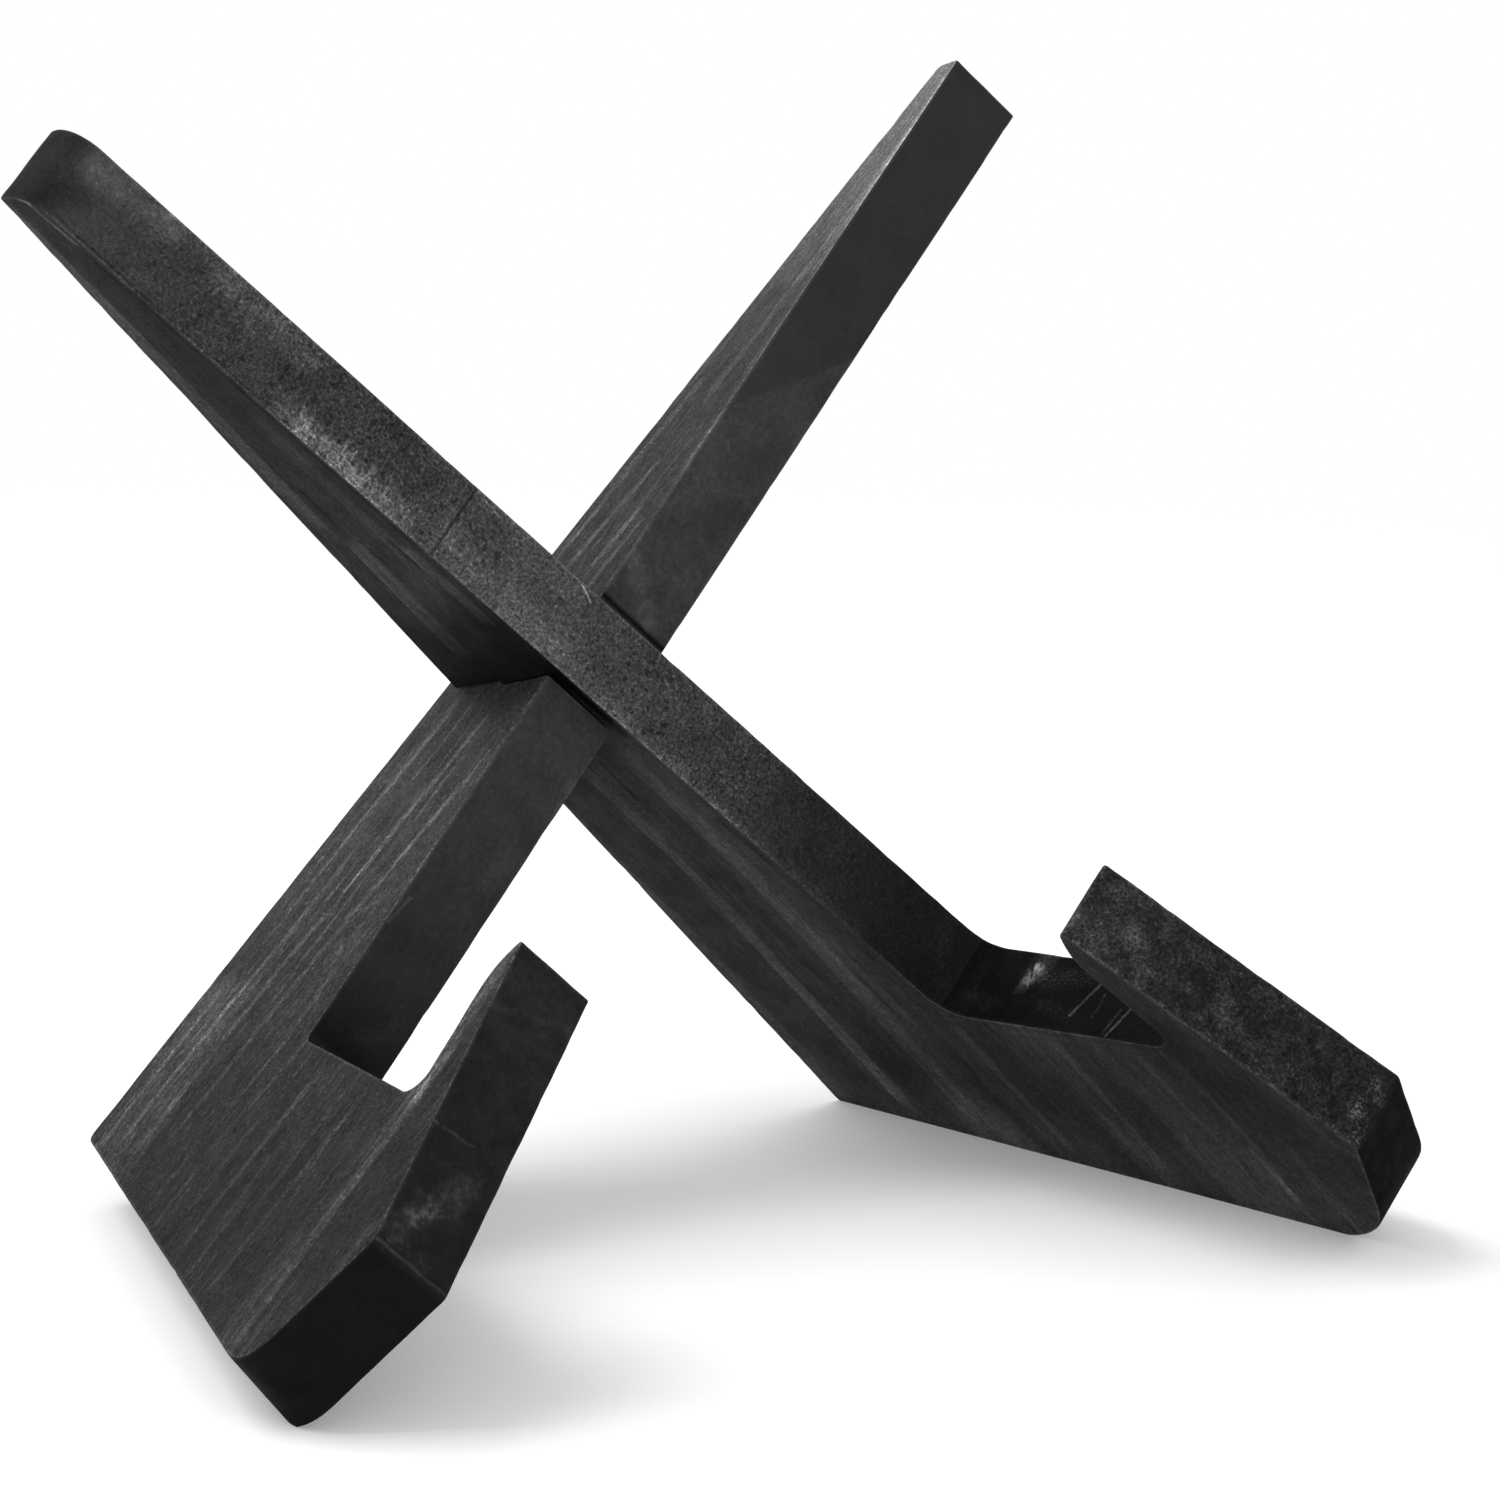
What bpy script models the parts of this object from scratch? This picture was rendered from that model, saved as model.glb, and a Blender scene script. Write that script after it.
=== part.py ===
"""Cookbook stand of two boards, cut to one outline and half-lapped into a leaning cross.

Each board is drawn flat, then stood up. On the flat board, "ahead" runs toward the reader
along the line where the boards cross, and "up" runs along the arm toward its top end.
Both are measured from the crossing point on the under board's front edge.
Lengths are in metres. The floor is at zero height, below the middle of the stand.
"""
import math

import bpy
import bmesh
from mathutils import Matrix, Vector

# Driving dimensions
BOARD_THICKNESS = 0.015
CROSSING_HEIGHT = 0.0913
LEAN_BACK = math.radians(16.4)
ARM_SPREAD = math.radians(45.0)

# Arm, from the crossing to its top end
CROSSING_DEPTH = 0.0368
FRONT_TAPER_SHARE = -0.0283
OVER_ARM_LENGTH = 0.1267
OVER_TOP_DEPTH = 0.0077
UNDER_ARM_LENGTH = 0.1338
UNDER_TOP_DEPTH = 0.0061
OVER_BOARD_PROUD = 0.0034

# Book notch and the hook in front of it: how far ahead, how far up
NOTCH_CORNER = (0.0024, -0.0843)
HOOK_ROOT = (0.0542, -0.0982)
HOOK_BEND = (0.0516, -0.0735)
HOOK_TIP = (0.0559, -0.0674)
TOE_TOP = (0.0730, -0.1257)
TOE_TAPER_SHARE = 0.693

# Sole of the foot
UNDER_SOLE_SKEW = 0.0023
ARRIS_EASE = 0.0006

# Corner radii
OVER_TOP_RADIUS = 0.0068
OVER_NOTCH_RADIUS = 0.0068
UNDER_BACK_TOP_RADIUS = 0.0020
UNDER_NOTCH_RADIUS = 0.0020
HOOK_ROOT_RADIUS = 0.0036
HOOK_BEND_RADIUS = 0.0120
HOOK_TIP_RADIUS = 0.0008
TOE_TOP_RADIUS = 0.0015
OVER_TOE_RADIUS = 0.0160
UNDER_TOE_RADIUS = 0.0090
HEEL_RADIUS = 0.0020
ARC_STEPS = 10
SHARP_ANGLE = math.radians(25)

# Half lap: both slots are cut to one depth, so the over board stands proud
SIDE_CLEARANCE = 0.0004
SEAT_GAP = 0.0003
SLOT_DEPTH = (CROSSING_DEPTH - OVER_BOARD_PROUD) / 2
SLOT_HALF_WIDTH = BOARD_THICKNESS / 2 + SIDE_CLEARANCE

# The sole follows the floor, which meets a tilted board along a sloping line
SOLE_SLOPE_SHARE = -math.tan(LEAN_BACK) / math.cos(ARM_SPREAD)
ARRIS_DEPTH = (CROSSING_HEIGHT + ARRIS_EASE) / math.cos(LEAN_BACK)
SOLE_BELOW_CROSSING = (ARRIS_DEPTH - math.sin(ARM_SPREAD) * BOARD_THICKNESS / 2) / math.cos(ARM_SPREAD)

# Black-stained wood
STAIN_COLOUR = (0.040, 0.040, 0.042, 1.0)
STAIN_ROUGHNESS = 0.62


def clear_scene():
    for old in list(bpy.data.objects):
        bpy.data.objects.remove(old, do_unlink=True)


def stained_wood(name):
    """One board's own black-stained wood."""
    material = bpy.data.materials.new(name)
    material.use_nodes = True
    shader = material.node_tree.nodes["Principled BSDF"]
    shader.inputs["Base Color"].default_value = STAIN_COLOUR
    shader.inputs["Roughness"].default_value = STAIN_ROUGHNESS
    shader.inputs["Metallic"].default_value = 0.0
    material.diffuse_color = STAIN_COLOUR
    return material


def rounded(corners):
    """Turns (point, radius) corners into an outline with an arc at each round corner."""
    outline = []
    for index, (point, radius) in enumerate(corners):
        if not radius:
            outline.append(point)
            continue
        before = (corners[index - 1][0] - point).normalized()
        after = (corners[(index + 1) % len(corners)][0] - point).normalized()
        half_angle = before.angle(after) / 2
        centre = point + (before + after).normalized() * radius / math.sin(half_angle)
        start = point + before * radius / math.tan(half_angle) - centre
        turn = start.angle_signed(point + after * radius / math.tan(half_angle) - centre)
        for step in range(ARC_STEPS + 1):
            outline.append(centre + Matrix.Rotation(-turn * step / ARC_STEPS, 2) @ start)
    return outline


def board_outline(shape, skew):
    """One face of a board. The skew lifts this face's sole edge, measured up the arm."""
    ahead = shape["ahead"]
    top = shape["arm_length"]
    back_taper = FRONT_TAPER_SHARE + (CROSSING_DEPTH - shape["top_depth"]) / top
    sole = -SOLE_BELOW_CROSSING + SOLE_SLOPE_SHARE * ahead + skew

    def on_sole(edge_ahead, edge_up, taper):
        """Where an edge that moves ahead by its taper share, for each length up, meets the sole."""
        up = (sole + SOLE_SLOPE_SHARE * (edge_ahead - taper * edge_up)) / (1 - SOLE_SLOPE_SHARE * taper)
        return edge_ahead + taper * (up - edge_up), up

    def front(up):
        return FRONT_TAPER_SHARE * up, up

    def back(up):
        return back_taper * up - CROSSING_DEPTH, up

    toe = on_sole(*TOE_TOP, TOE_TAPER_SHARE)
    heel = on_sole(-CROSSING_DEPTH, 0, back_taper)
    front_slot = []
    back_slot = []
    half = SLOT_HALF_WIDTH
    if shape["slot_in_front"]:
        bottom = -SLOT_DEPTH - SEAT_GAP / 2 - ahead
        front_slot = [(front(half), 0), ((bottom, half), 0), ((bottom, -half), 0), (front(-half), 0)]
    else:
        bottom = -SLOT_DEPTH + SEAT_GAP / 2 - ahead
        back_slot = [(back(-half), 0), ((bottom, -half), 0), ((bottom, half), 0), (back(half), 0)]
    corners = [
        (back(top), shape["back_top_radius"]),
        (front(top), shape["front_top_radius"]),
        *front_slot,
        (NOTCH_CORNER, shape["notch_radius"]),
        (HOOK_ROOT, HOOK_ROOT_RADIUS),
        (HOOK_BEND, HOOK_BEND_RADIUS),
        (HOOK_TIP, HOOK_TIP_RADIUS),
        (TOE_TOP, TOE_TOP_RADIUS),
        (toe, shape["toe_radius"]),
        (heel, HEEL_RADIUS),
        *back_slot,
    ]
    outline = rounded([(Vector(point), radius) for point, radius in corners])
    return [point + Vector((ahead, 0)) for point in outline]


def standing_frame(spread):
    """Columns: up the arm, ahead, and out of the board's right-hand face."""
    ahead = Vector((0, -math.cos(LEAN_BACK), math.sin(LEAN_BACK)))
    upright = Vector((0, math.sin(LEAN_BACK), math.cos(LEAN_BACK)))
    right = Vector((1, 0, 0))
    turn = Matrix.Rotation(spread, 3, ahead)
    return Matrix((turn @ upright, ahead, turn @ right)).transposed()


def make_board(name, shape):
    """Joins the two faces' outlines into one solid and planes the edge it stands on."""
    frame = standing_frame(shape["spread"])
    mesh = bmesh.new()
    faces = []
    for side in (-1, 1):
        stands = side * shape["spread"] < 0
        outline = board_outline(shape, 0 if stands else shape["sole_skew"])
        flat = [Vector((point.y, point.x, side * BOARD_THICKNESS / 2)) for point in outline]
        faces.append([mesh.verts.new(frame @ point) for point in flat])
    left, right = faces
    mesh.faces.new(left)
    mesh.faces.new(right)
    for index in range(len(left)):
        mesh.faces.new((left[index - 1], left[index], right[index], right[index - 1]))
    bmesh.ops.recalc_face_normals(mesh, faces=mesh.faces)

    floor = Vector((0, 0, -CROSSING_HEIGHT))
    everything = mesh.verts[:] + mesh.edges[:] + mesh.faces[:]
    cut = bmesh.ops.bisect_plane(mesh, geom=everything, plane_co=floor, plane_no=(0, 0, -1), clear_outer=True)
    rim = [part for part in cut["geom_cut"] if isinstance(part, bmesh.types.BMEdge)]
    bmesh.ops.edgenet_fill(mesh, edges=rim)
    bmesh.ops.recalc_face_normals(mesh, faces=mesh.faces)

    data = bpy.data.meshes.new(name)
    mesh.to_mesh(data)
    mesh.free()
    data.shade_smooth()
    data.set_sharp_from_angle(angle=SHARP_ANGLE)
    data.materials.append(stained_wood(name + "_stain"))
    board = bpy.data.objects.new(name, data)
    bpy.context.collection.objects.link(board)
    return board


def stand_on_floor(boards):
    """Moves both boards, origins at the crossing, so the floor's origin is below the middle."""
    points = [vertex.co for board in boards for vertex in board.data.vertices]
    middle_x = (min(point.x for point in points) + max(point.x for point in points)) / 2
    middle_y = (min(point.y for point in points) + max(point.y for point in points)) / 2
    for board in boards:
        board.location = (-middle_x, -middle_y, CROSSING_HEIGHT)


OVER_BOARD = {
    "spread": ARM_SPREAD,
    "ahead": OVER_BOARD_PROUD,
    "arm_length": OVER_ARM_LENGTH,
    "top_depth": OVER_TOP_DEPTH,
    "back_top_radius": 0,
    "front_top_radius": OVER_TOP_RADIUS,
    "notch_radius": OVER_NOTCH_RADIUS,
    "toe_radius": OVER_TOE_RADIUS,
    "sole_skew": 0,
    "slot_in_front": False,
}

UNDER_BOARD = {
    "spread": -ARM_SPREAD,
    "ahead": 0,
    "arm_length": UNDER_ARM_LENGTH,
    "top_depth": UNDER_TOP_DEPTH,
    "back_top_radius": UNDER_BACK_TOP_RADIUS,
    "front_top_radius": 0,
    "notch_radius": UNDER_NOTCH_RADIUS,
    "toe_radius": UNDER_TOE_RADIUS,
    "sole_skew": UNDER_SOLE_SKEW,
    "slot_in_front": True,
}

clear_scene()
stand_on_floor([make_board("under_board", UNDER_BOARD), make_board("over_board", OVER_BOARD)])
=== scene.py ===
import math

import bpy
from mathutils import Euler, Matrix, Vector, noise
from mathutils.bvhtree import BVHTree


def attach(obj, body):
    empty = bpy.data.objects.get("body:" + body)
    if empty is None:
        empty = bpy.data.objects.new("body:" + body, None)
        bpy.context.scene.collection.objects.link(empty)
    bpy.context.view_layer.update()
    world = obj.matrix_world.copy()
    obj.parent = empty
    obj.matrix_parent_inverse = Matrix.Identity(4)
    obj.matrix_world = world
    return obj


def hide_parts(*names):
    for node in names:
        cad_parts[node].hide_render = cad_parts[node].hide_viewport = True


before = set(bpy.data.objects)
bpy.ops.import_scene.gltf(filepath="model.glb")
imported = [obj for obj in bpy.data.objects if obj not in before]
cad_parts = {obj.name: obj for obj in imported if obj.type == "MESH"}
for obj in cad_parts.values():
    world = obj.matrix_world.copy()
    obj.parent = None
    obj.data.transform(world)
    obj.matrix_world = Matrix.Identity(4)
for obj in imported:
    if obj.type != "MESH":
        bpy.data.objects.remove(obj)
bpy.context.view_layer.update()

# The stand is dressed board by board. A place on a board is given in millimetres from the point
# where the boards cross: up the arm, ahead toward the reader, and out of the right-hand face.
# A length times MILLIMETRE is in metres, as Blender's tools take it. The others are in millimetres.
MILLIMETRE = 0.001
CROSSING = (-0.000441, 0.031021, 0.0913)
OVER_TURN = tuple(math.radians(angle) for angle in (22.5983, -42.7139, 164.2334))
UNDER_TURN = tuple(math.radians(angle) for angle in (157.4017, -42.7139, 15.7666))
HALF_BOARD = 7.5
FRONT_TAPER = -0.0283
OVER_PROUD = 3.4
OVER_LEDGE = ((-84.3, 5.8), (-98.2, 57.6))
OVER_HOOK_FRONT = ((-67.4, 59.3), (-125.7, 76.4))
UNDER_HOOK_FRONT = ((-67.4, 55.9), (-125.7, 73.0))

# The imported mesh, merged before it is worked
MERGE_DISTANCE = 0.02 * MILLIMETRE
SLIVER_ANGLE = math.radians(1.5)

# Hand-worked edges and faces
ARRIS_ANGLE = math.radians(60)
ARRIS_WIDTH = 0.42 * MILLIMETRE
ARRIS_SEGMENTS = 2
ARRIS_BORDER = 0.3 * MILLIMETRE
SOLE_FACING = -0.9
BOARD_REACH = ((-162, 135), (-63, 81), (-6, 6))
GRID_STEP = 2.0
SLIVER_WIDTH = 0.07 * MILLIMETRE
SMOOTH_ANGLE = math.radians(35)
NICK_DEPTH = 0.18
NICK_SIZE = 4.0
NICK_REACH = 1.2
UNEVEN_DEPTH = 0.12
UNEVEN_SIZE = 26.0
SCORE_UP = 36.7
SCORE_HALF_WIDTH = 0.16
SCORE_DEPTH = 0.3

# Zones of a board, each with its own finish
ZONES = ("lower side", "upper side", "planed edge", "hook edge", "notch floor")
LOWER_SIDE, UPPER_SIDE, EDGE, HOOK, NOTCH_FLOOR = range(len(ZONES))
BROAD_FACING = 0.72
FLOOR_FACING = 0.5
HOOK_FROM_AHEAD = 46
NOTCH_FROM_AHEAD = 5
NOTCH_FLOOR_UP = (-102, -82)

# Stain, and where the painted light of a facet begins
STREAK_TAPER = 0.12
ROUGHNESS_SPREAD = 0.07
WORN_POLISH = 0.12
FACET_UP = 64.3

# Floor and light
FLOOR_SIZE = 8
FLOOR_TONE = 0.85
FLOOR_LIFT = 0.15
FLOOR_FADE = (0.35, 0.75)
BOUNCE_TONE = 0.5
ROOM_TONE = 0.75
LAMP_SIZE = 1.2
LAMP_AIM = (0, 0, 0.09)

# Camera
CAMERA_PLACE = (-0.483992, -0.768477, 0.283018)
CAMERA_TURN = (77.6001, -1.3154, -32.3796)
CAMERA_LENS = 137.893
CAMERA_SENSOR = 36
CAMERA_NEAR = 0.05


class Bench:
    """Lays out and wires the nodes of one material or group."""

    def __init__(self, tree):
        self.tree = tree

    def lay(self, kind, inputs=None, **settings):
        node = self.tree.nodes.new(kind)
        for name, value in settings.items():
            setattr(node, name, value)
        for key, value in (inputs or {}).items():
            self.feed(node.inputs[key], value)
        return node

    def feed(self, socket, value):
        if isinstance(value, bpy.types.NodeSocket):
            self.tree.links.new(value, socket)
        else:
            socket.default_value = value

    def sum(self, operation, *values, clamp=False):
        node = self.lay("ShaderNodeMath", dict(enumerate(values)), operation=operation, use_clamp=clamp)
        return node.outputs[0]

    def arrow(self, operation, *values):
        node = self.lay("ShaderNodeVectorMath", operation=operation)
        for index, value in enumerate(values):
            self.feed(node.inputs["Scale" if operation == "SCALE" and index else index], value)
        return node.outputs["Value" if operation in ("DOT_PRODUCT", "LENGTH", "DISTANCE") else "Vector"]

    def span(self, value, low, high, to_low=0.0, to_high=1.0, smooth=True):
        """Brings a value from one range to another, held at both ends."""
        curve = "SMOOTHSTEP" if smooth else "LINEAR"
        node = self.lay("ShaderNodeMapRange", clamp=True, interpolation_type=curve)
        for index, given in enumerate((value, low, high, to_low, to_high)):
            self.feed(node.inputs[index], given)
        return node.outputs["Result"]

    def clouds(self, place, scale, detail=2.0, roughness=0.5):
        """Noise with so many bumps in a millimetre."""
        inputs = {"Vector": place, "Scale": scale, "Detail": detail, "Roughness": roughness}
        return self.lay("ShaderNodeTexNoise", inputs).outputs

    def ramp(self, value, stops, curve="EASE"):
        """A value that changes with another one, through stops given as place and value."""
        stops = sorted(stops)
        places = [place for place, _ in stops]
        values = [given for _, given in stops]
        low, high = places[0], places[-1]
        bottom, reach = min(values), (max(values) - min(values)) or 1.0
        node = self.lay("ShaderNodeValToRGB", {"Fac": self.span(value, low, high, smooth=False)})
        node.color_ramp.interpolation = curve
        elements = node.color_ramp.elements
        while len(elements) < len(stops):
            elements.new(1)
        for element, place, given in zip(elements, places, values):
            element.position = (place - low) / (high - low)
            element.color = grey((given - bottom) / reach)
        return self.span(node.outputs["Color"], 0, 1, bottom, bottom + reach, smooth=False)

    def use(self, group, **given):
        node = self.tree.nodes.new("ShaderNodeGroup")
        node.node_tree = group
        for name, value in given.items():
            self.feed(node.inputs[name.replace("_", " ")], value)
        return node.outputs


def grey(tone):
    return (tone, tone, tone, 1)


def new_group(name, inputs, outputs, arrows=()):
    """A shader node group with named sockets. Returns the group, its bench, its inputs and its outputs."""
    group = bpy.data.node_groups.new(name, "ShaderNodeTree")
    for socket, kind, value in inputs:
        made = group.interface.new_socket(name=socket, in_out="INPUT", socket_type="NodeSocket" + kind)
        made.default_value = value
    for socket in outputs:
        group.interface.new_socket(name=socket, in_out="OUTPUT", socket_type="NodeSocketFloat")
    for socket in arrows:
        group.interface.new_socket(name=socket, in_out="OUTPUT", socket_type="NodeSocketVector")
    bench = Bench(group)
    return group, bench, bench.lay("NodeGroupInput").outputs, bench.lay("NodeGroupOutput").inputs


def unsteady_hand_group():
    """How marks stray from their line, break up and end in teeth, shared by every mark of a finish."""
    group, bench, given, out = new_group(
        "unsteady hand", [("Place", "Vector", (0, 0, 0))], ["Sway", "Holes", "Smooth"], ["Stray", "Teeth"]
    )
    place = given["Place"]
    stray = bench.clouds(place, 0.45, 3, 0.6)["Color"]
    bench.feed(out["Stray"], bench.arrow("SUBTRACT", stray, (0.5, 0.5, 0.5)))
    drawn_out = bench.arrow("MULTIPLY", place, (0.12, 1, 1))
    slow = bench.sum("SUBTRACT", bench.clouds(drawn_out, 0.12, 1, 0.5)["Fac"], 0.5)
    quick = bench.sum("SUBTRACT", bench.clouds(drawn_out, 0.5, 3, 0.6)["Fac"], 0.5)
    bench.feed(out["Sway"], bench.sum("MULTIPLY_ADD", slow, 1.6, quick))
    bench.feed(out["Holes"], bench.span(bench.clouds(place, 0.6, 4, 0.75)["Fac"], 0.4, 0.6, 1, 0))
    bench.feed(out["Smooth"], bench.span(bench.clouds(place, 2.1, 2, 0.6)["Fac"], 0.5, 0.62, 1, 0))
    combed = bench.clouds(bench.arrow("MULTIPLY", place, (1.1, 0.2, 0.12)), 1, 3, 0.6)["Fac"]
    teeth = bench.lay("ShaderNodeCombineXYZ", {"Z": bench.sum("SUBTRACT", combed, 0.5)})
    bench.feed(out["Teeth"], teeth.outputs[0])
    return group


def grain_streak_group():
    """A streak that follows the grain, by the distance from its line, wider to the back or to the front."""
    group, bench, given, out = new_group(
        "grain streak",
        [
            ("Up", "Float", 0),
            ("Off", "Float", 9),
            ("Sway", "Float", 0),
            ("Holes", "Float", 0),
            ("Low end", "Float", 0),
            ("High end", "Float", 1),
            ("Back", "Float", 0.5),
            ("Front", "Float", 0.5),
            ("Ragged", "Float", 1),
            ("Broken", "Float", 0.3),
        ],
        ["Mask"],
    )
    off = bench.sum("MULTIPLY_ADD", given["Sway"], given["Ragged"], given["Off"])
    to_front = bench.span(off, bench.sum("MULTIPLY", given["Front"], 0.5), given["Front"], 1, 0)
    behind = bench.sum("MULTIPLY", off, -1)
    to_back = bench.span(behind, bench.sum("MULTIPLY", given["Back"], 0.5), given["Back"], 1, 0)
    solid = bench.sum("MULTIPLY", to_front, to_back)
    taper = bench.sum("MULTIPLY", bench.sum("SUBTRACT", given["High end"], given["Low end"]), STREAK_TAPER)
    begun = bench.span(given["Up"], given["Low end"], bench.sum("ADD", given["Low end"], taper))
    ended = bench.span(given["Up"], bench.sum("SUBTRACT", given["High end"], taper), given["High end"], 1, 0)
    kept = bench.sum("SUBTRACT", 1, bench.sum("MULTIPLY", given["Broken"], given["Holes"]))
    within = bench.sum("MULTIPLY", begun, ended)
    bench.feed(out["Mask"], bench.sum("MULTIPLY", bench.sum("MULTIPLY", solid, kept), within))
    return group


def rub_and_painted_light_group():
    """A mark rubbed, scratched or brushed over a board, or painted light and shade laid over it, from one
    place to another.
    """
    group, bench, given, out = new_group(
        "rub and painted light",
        [
            ("Place", "Vector", (0, 0, 0)),
            ("Stray", "Vector", (0, 0, 0)),
            ("Teeth", "Vector", (0, 0, 0)),
            ("Holes", "Float", 0),
            ("Smooth", "Float", 0),
            ("From", "Vector", (0, 0, 0)),
            ("To", "Vector", (1, 0, 0)),
            ("Width", "Float", 1),
            ("Ragged", "Float", 0.5),
            ("Toothed", "Float", 0),
            ("Broken", "Float", 0.3),
            ("Grainy", "Float", 0),
        ],
        ["Mask"],
    )
    strayed = bench.arrow("ADD", given["Place"], bench.arrow("SCALE", given["Stray"], given["Ragged"]))
    strayed = bench.arrow("ADD", strayed, bench.arrow("SCALE", given["Teeth"], given["Toothed"]))
    along = bench.arrow("SUBTRACT", given["To"], given["From"])
    reach = bench.arrow("SUBTRACT", strayed, given["From"])
    on_line = bench.arrow("DOT_PRODUCT", reach, along)
    share = bench.sum("DIVIDE", on_line, bench.arrow("DOT_PRODUCT", along, along), clamp=True)
    distance = bench.arrow("DISTANCE", reach, bench.arrow("SCALE", along, share))
    solid = bench.span(distance, 0, given["Width"], 1, 0)
    whole = bench.sum("SUBTRACT", 1, bench.sum("MULTIPLY", given["Broken"], given["Holes"]))
    specks = bench.sum("SUBTRACT", 1, bench.sum("MULTIPLY", given["Grainy"], given["Smooth"]))
    kept = bench.sum("MULTIPLY", whole, specks)
    bench.feed(out["Mask"], bench.sum("MULTIPLY", solid, kept))
    return group


def long_grain_group():
    """Grain that runs up the arm: pale lines, short wavy fibres, dark dashes and broad bands."""
    group, bench, given, out = new_group(
        "long grain",
        [
            ("Place", "Vector", (0, 0, 0)),
            ("Slant", "Float", 0.13),
            ("Spacing", "Float", 6),
            ("Wander", "Float", 2),
        ],
        ["Lines", "Fibres", "Dashes", "Broad"],
    )
    place = given["Place"]
    parts = bench.lay("ShaderNodeSeparateXYZ", {0: place}).outputs
    across = bench.sum("SUBTRACT", parts["Y"], bench.sum("MULTIPLY", parts["X"], given["Slant"]))
    drift = bench.sum("SUBTRACT", bench.clouds(place, 0.035, 2, 0.5)["Fac"], 0.5)
    across = bench.sum("MULTIPLY_ADD", drift, bench.sum("MULTIPLY", given["Wander"], 4), across)
    jitter = bench.sum("SUBTRACT", bench.clouds(place, 0.45, 3, 0.6)["Fac"], 0.5)
    across = bench.sum("MULTIPLY_ADD", jitter, given["Wander"], across)

    def drawn(length, width, detail, roughness):
        """Noise pulled out along the arm."""
        pulled = bench.lay(
            "ShaderNodeCombineXYZ",
            {
                "X": bench.sum("DIVIDE", parts["X"], length),
                "Y": bench.sum("DIVIDE", across, width),
                "Z": bench.sum("DIVIDE", parts["Z"], width),
            },
        )
        return bench.clouds(pulled.outputs[0], 1, detail, roughness)["Fac"]

    spacing = given["Spacing"]
    bench.feed(out["Lines"], bench.span(drawn(45, bench.sum("MULTIPLY", spacing, 0.45), 2, 0.5), 0.56, 0.7))
    bench.feed(out["Fibres"], bench.span(drawn(5, bench.sum("MULTIPLY", spacing, 0.1), 3, 0.6), 0.3, 0.7))
    thick = bench.span(bench.clouds(place, 0.07, 2, 0.5)["Fac"], 0.48, 0.62)
    dash = bench.span(drawn(9, bench.sum("MULTIPLY", spacing, 0.08), 2, 0.5), 0.6, 0.7)
    bench.feed(out["Dashes"], bench.sum("MULTIPLY", dash, thick))
    bench.feed(out["Broad"], bench.span(drawn(120, bench.sum("MULTIPLY", spacing, 1.6), 2, 0.5), 0.36, 0.64))
    return group


def speckle_group():
    """The mottle of stain on worked wood: soft spots, curled lines, pale flecks, dark pits and clouds."""
    group, bench, given, out = new_group(
        "speckle",
        [("Place", "Vector", (0, 0, 0)), ("Size", "Float", 0.5), ("Clouding", "Float", 8)],
        ["Mottle", "Curls", "Flecks", "Pits", "Cloud"],
    )
    place = given["Place"]
    fine = bench.clouds(place, bench.sum("DIVIDE", 0.9, given["Size"]), 3, 0.6)["Fac"]
    other = bench.clouds(place, bench.sum("DIVIDE", 0.5, given["Size"]), 2, 0.55)["Fac"]
    bench.feed(out["Mottle"], bench.span(fine, 0.3, 0.7))
    ridge = bench.sum("ABSOLUTE", bench.sum("SUBTRACT", other, 0.5))
    bench.feed(out["Curls"], bench.span(ridge, 0, 0.05, 1, 0))
    bench.feed(out["Flecks"], bench.span(fine, 0.6, 0.72))
    bench.feed(out["Pits"], bench.span(other, 0.3, 0.42, 1, 0))
    large = bench.clouds(place, bench.sum("DIVIDE", 1, given["Clouding"]), 3, 0.6)["Fac"]
    bench.feed(out["Cloud"], bench.span(large, 0.3, 0.7))
    return group


def worn_arris_group():
    """Where handling has rubbed the stain off a corner, by the distance to it."""
    group, bench, given, out = new_group(
        "worn arris",
        [
            ("Place", "Vector", (0, 0, 0)),
            ("Distance", "Float", 9),
            ("Reach", "Float", 0.6),
            ("Cover", "Float", 0.5),
        ],
        ["Worn"],
    )
    ragged = bench.clouds(given["Place"], 0.8, 3, 0.65)["Fac"]
    patches = bench.clouds(given["Place"], 0.09, 2, 0.5)["Fac"]
    reach = bench.sum("MULTIPLY", given["Reach"], bench.span(ragged, 0.3, 0.7, 0.2, 1.5))
    rubbed = bench.span(given["Distance"], 0, reach, 1, 0)
    start = bench.sum("SUBTRACT", 0.75, bench.sum("MULTIPLY", given["Cover"], 0.5))
    covered = bench.span(patches, bench.sum("SUBTRACT", start, 0.2), start)
    bench.feed(out["Worn"], bench.sum("MULTIPLY", rubbed, covered))
    return group


def facet_painted_light_group():
    """The part of an edge to one side of a slanting line, where a plane stroke ended. The facet is not
    modelled: the paler tone past the line is painted light, as the tilted facet would catch more.
    """
    group, bench, given, out = new_group(
        "facet painted light",
        [
            ("Place", "Vector", (0, 0, 0)),
            ("Through", "Vector", (0, 0, 0)),
            ("Toward", "Vector", (1, 0, 0)),
            ("Edge", "Float", 0.8),
            ("Fade", "Float", 20),
        ],
        ["Begun", "Fading"],
    )
    ragged = bench.sum("SUBTRACT", bench.clouds(given["Place"], 0.6, 3, 0.6)["Fac"], 0.5)
    reach = bench.arrow("SUBTRACT", given["Place"], given["Through"])
    past = bench.sum("ADD", bench.arrow("DOT_PRODUCT", reach, given["Toward"]), ragged)
    begun = bench.span(past, 0, given["Edge"])
    bench.feed(out["Begun"], begun)
    left = bench.span(past, given["Edge"], given["Fade"], 1, 0)
    bench.feed(out["Fading"], bench.sum("MULTIPLY", begun, left))
    return group


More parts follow.
